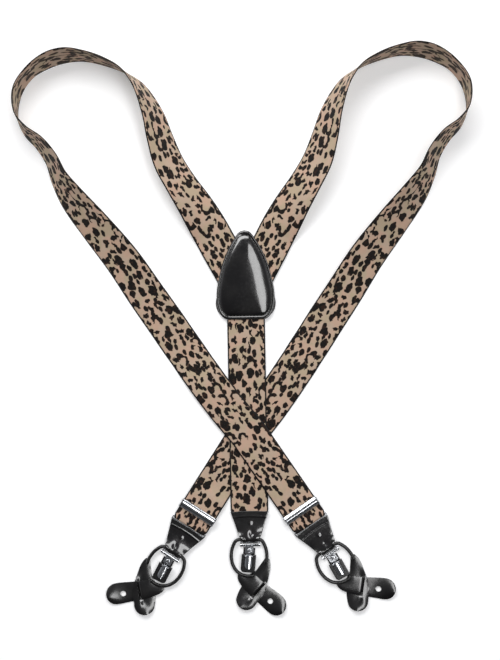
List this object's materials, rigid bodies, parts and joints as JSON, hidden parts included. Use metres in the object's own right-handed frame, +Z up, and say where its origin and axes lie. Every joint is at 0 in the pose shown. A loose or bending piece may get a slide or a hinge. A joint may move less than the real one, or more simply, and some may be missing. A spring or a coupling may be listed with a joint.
{
  "type": "dress suspenders",
  "caption": "Y-back dress suspenders in printed elastic webbing, with a leather back patch, sliding adjusters and ends that have both a clip and a pair of button ears.",
  "frame": {"origin": "centre of the back patch, on the underside of its lining", "axes": "+Z up off the surface the suspenders lie on, +Y from the patch towards the shoulder loops, +X to the right"},
  "size_m": [0.421, 0.5271, 0.0352],
  "materials": {
    "leopard_webbing": "woven elastic with a black-spotted print",
    "patent_leather": "glossy",
    "rolled_leather": "stitched, semi-gloss",
    "chrome": "polished",
    "black_enamel": "gloss black",
    "rubber": "matt",
    "steel": "plain"
  },
  "bodies": {
    "webbing": {"shoulder_strap_left": "leopard_webbing", "shoulder_strap_right": "leopard_webbing", "back_strap": "leopard_webbing", "patch_cover": "patent_leather", "patch_lining": "patent_leather", "tab_leather_back": "patent_leather"},
    "button_loop_back": {"loop_cord_back": "rolled_leather", "ear_a_back": "patent_leather", "ear_b_back": "patent_leather"},
    "hanger_back": {"clip_hanger_back": "chrome"},
    "clip_back": {"clip_rivet_back": "chrome", "clip_base_back": "black_enamel", "clip_pad_back": "rubber", "clip_pin_back": "steel"},
    "jaw_back": {"clip_jaw_back": "black_enamel"},
    "lever_back": {"clip_lever_back": "chrome"},
    "front_end_left": {"loop_plate_left": "chrome", "tab_leather_left": "patent_leather"},
    "button_loop_left": {"loop_cord_left": "rolled_leather", "ear_a_left": "patent_leather", "ear_b_left": "patent_leather"},
    "hanger_left": {"clip_hanger_left": "chrome"},
    "clip_left": {"clip_rivet_left": "chrome", "clip_base_left": "black_enamel", "clip_pad_left": "rubber", "clip_pin_left": "steel"},
    "jaw_left": {"clip_jaw_left": "black_enamel"},
    "lever_left": {"clip_lever_left": "chrome"},
    "adjuster_left": {"adjuster_frame_left": "steel", "adjuster_pin_left": "steel"},
    "adjuster_plate_left": {"adjuster_plate_left": "chrome"},
    "front_end_right": {"loop_plate_right": "chrome", "tab_leather_right": "patent_leather"},
    "button_loop_right": {"loop_cord_right": "rolled_leather", "ear_a_right": "patent_leather", "ear_b_right": "patent_leather"},
    "hanger_right": {"clip_hanger_right": "chrome"},
    "clip_right": {"clip_rivet_right": "chrome", "clip_base_right": "black_enamel", "clip_pad_right": "rubber", "clip_pin_right": "steel"},
    "jaw_right": {"clip_jaw_right": "black_enamel"},
    "lever_right": {"clip_lever_right": "chrome"},
    "adjuster_right": {"adjuster_frame_right": "steel", "adjuster_pin_right": "steel"},
    "adjuster_plate_right": {"adjuster_plate_right": "chrome"}
  },
  "joints": [
    {"name": "loop_swing_back", "type": "hinge", "parent": "webbing", "child": "button_loop_back", "pos_m": [0, -0.2452, 0.0042], "axis": [-1, 0, 0], "range_deg": [-45, 85]},
    {"name": "hanger_swing_back", "type": "hinge", "parent": "webbing", "child": "hanger_back", "pos_m": [0, -0.24735, 0.00195], "axis": [-1, 0, 0], "range_deg": [-38, 48]},
    {"name": "clip_swivel_back", "type": "hinge", "parent": "hanger_back", "child": "clip_back", "pos_m": [-0.0009, -0.2558, 0.002], "axis": [0, 0, 1], "range_deg": [-6, 2.5]},
    {"name": "lever_open_back", "type": "hinge", "parent": "clip_back", "child": "lever_back", "pos_m": [-0.00142, -0.26117, 0.0046], "axis": [-0.9954, 0.0958, 0], "range_deg": [0, 90]},
    {"name": "jaw_open_back", "type": "hinge", "parent": "clip_back", "child": "jaw_back", "pos_m": [-0.00142, -0.26117, 0.0046], "axis": [-0.9954, 0.0958, 0], "range_deg": [0, 12]},
    {"name": "end_swing_left", "type": "hinge", "parent": "webbing", "child": "front_end_left", "pos_m": [-0.05581, -0.2313, 0.00205], "axis": [-0.8339, 0.5519, 0], "range_deg": [-60, 80]},
    {"name": "loop_swing_left", "type": "hinge", "parent": "front_end_left", "child": "button_loop_left", "pos_m": [-0.0716, -0.25515, 0.0042], "axis": [-0.8339, 0.5519, 0], "range_deg": [-45, 85]},
    {"name": "hanger_swing_left", "type": "hinge", "parent": "front_end_left", "child": "hanger_left", "pos_m": [-0.07279, -0.25694, 0.00195], "axis": [-0.8339, 0.5519, 0], "range_deg": [-38, 48]},
    {"name": "clip_swivel_left", "type": "hinge", "parent": "hanger_left", "child": "clip_left", "pos_m": [-0.0767, -0.26448, 0.002], "axis": [0, 0, 1], "range_deg": [-2.5, 6]},
    {"name": "lever_open_left", "type": "hinge", "parent": "clip_left", "child": "lever_left", "pos_m": [-0.07923, -0.26925, 0.0046], "axis": [-0.8829, 0.4695, 0], "range_deg": [0, 90]},
    {"name": "jaw_open_left", "type": "hinge", "parent": "clip_left", "child": "jaw_left", "pos_m": [-0.07923, -0.26925, 0.0046], "axis": [-0.8829, 0.4695, 0], "range_deg": [0, 12]},
    {"name": "adjuster_slide_left", "type": "slide", "parent": "webbing", "child": "adjuster_left", "axis": [0.5519, 0.8339, 0], "range_m": [-0.005, 0.012]},
    {"name": "adjuster_open_left", "type": "hinge", "parent": "adjuster_left", "child": "adjuster_plate_left", "pos_m": [-0.04621, -0.21679, 0.0054], "axis": [-0.8339, 0.5519, 0], "range_deg": [0, 95]},
    {"name": "end_swing_right", "type": "hinge", "parent": "webbing", "child": "front_end_right", "pos_m": [0.05581, -0.2313, 0.00205], "axis": [-0.8339, -0.5519, 0], "range_deg": [-60, 80]},
    {"name": "loop_swing_right", "type": "hinge", "parent": "front_end_right", "child": "button_loop_right", "pos_m": [0.0716, -0.25515, 0.0042], "axis": [-0.8339, -0.5519, 0], "range_deg": [-45, 85]},
    {"name": "hanger_swing_right", "type": "hinge", "parent": "front_end_right", "child": "hanger_right", "pos_m": [0.07279, -0.25694, 0.00195], "axis": [-0.8339, -0.5519, 0], "range_deg": [-38, 48]},
    {"name": "clip_swivel_right", "type": "hinge", "parent": "hanger_right", "child": "clip_right", "pos_m": [0.0767, -0.26448, 0.002], "axis": [0, 0, 1], "range_deg": [-6, 2.5]},
    {"name": "lever_open_right", "type": "hinge", "parent": "clip_right", "child": "lever_right", "pos_m": [0.07923, -0.26925, 0.0046], "axis": [-0.8829, -0.4695, 0], "range_deg": [0, 90]},
    {"name": "jaw_open_right", "type": "hinge", "parent": "clip_right", "child": "jaw_right", "pos_m": [0.07923, -0.26925, 0.0046], "axis": [-0.8829, -0.4695, 0], "range_deg": [0, 12]},
    {"name": "adjuster_slide_right", "type": "slide", "parent": "webbing", "child": "adjuster_right", "axis": [-0.5519, 0.8339, 0], "range_m": [-0.005, 0.012]},
    {"name": "adjuster_open_right", "type": "hinge", "parent": "adjuster_right", "child": "adjuster_plate_right", "pos_m": [0.04621, -0.21679, 0.0054], "axis": [-0.8339, -0.5519, 0], "range_deg": [0, 95]}
  ],
  "couplings": [
    {"joint": "jaw_open_back", "follows": "lever_open_back", "ratio": 0.13},
    {"joint": "jaw_open_left", "follows": "lever_open_left", "ratio": 0.13},
    {"joint": "jaw_open_right", "follows": "lever_open_right", "ratio": 0.13}
  ]
}
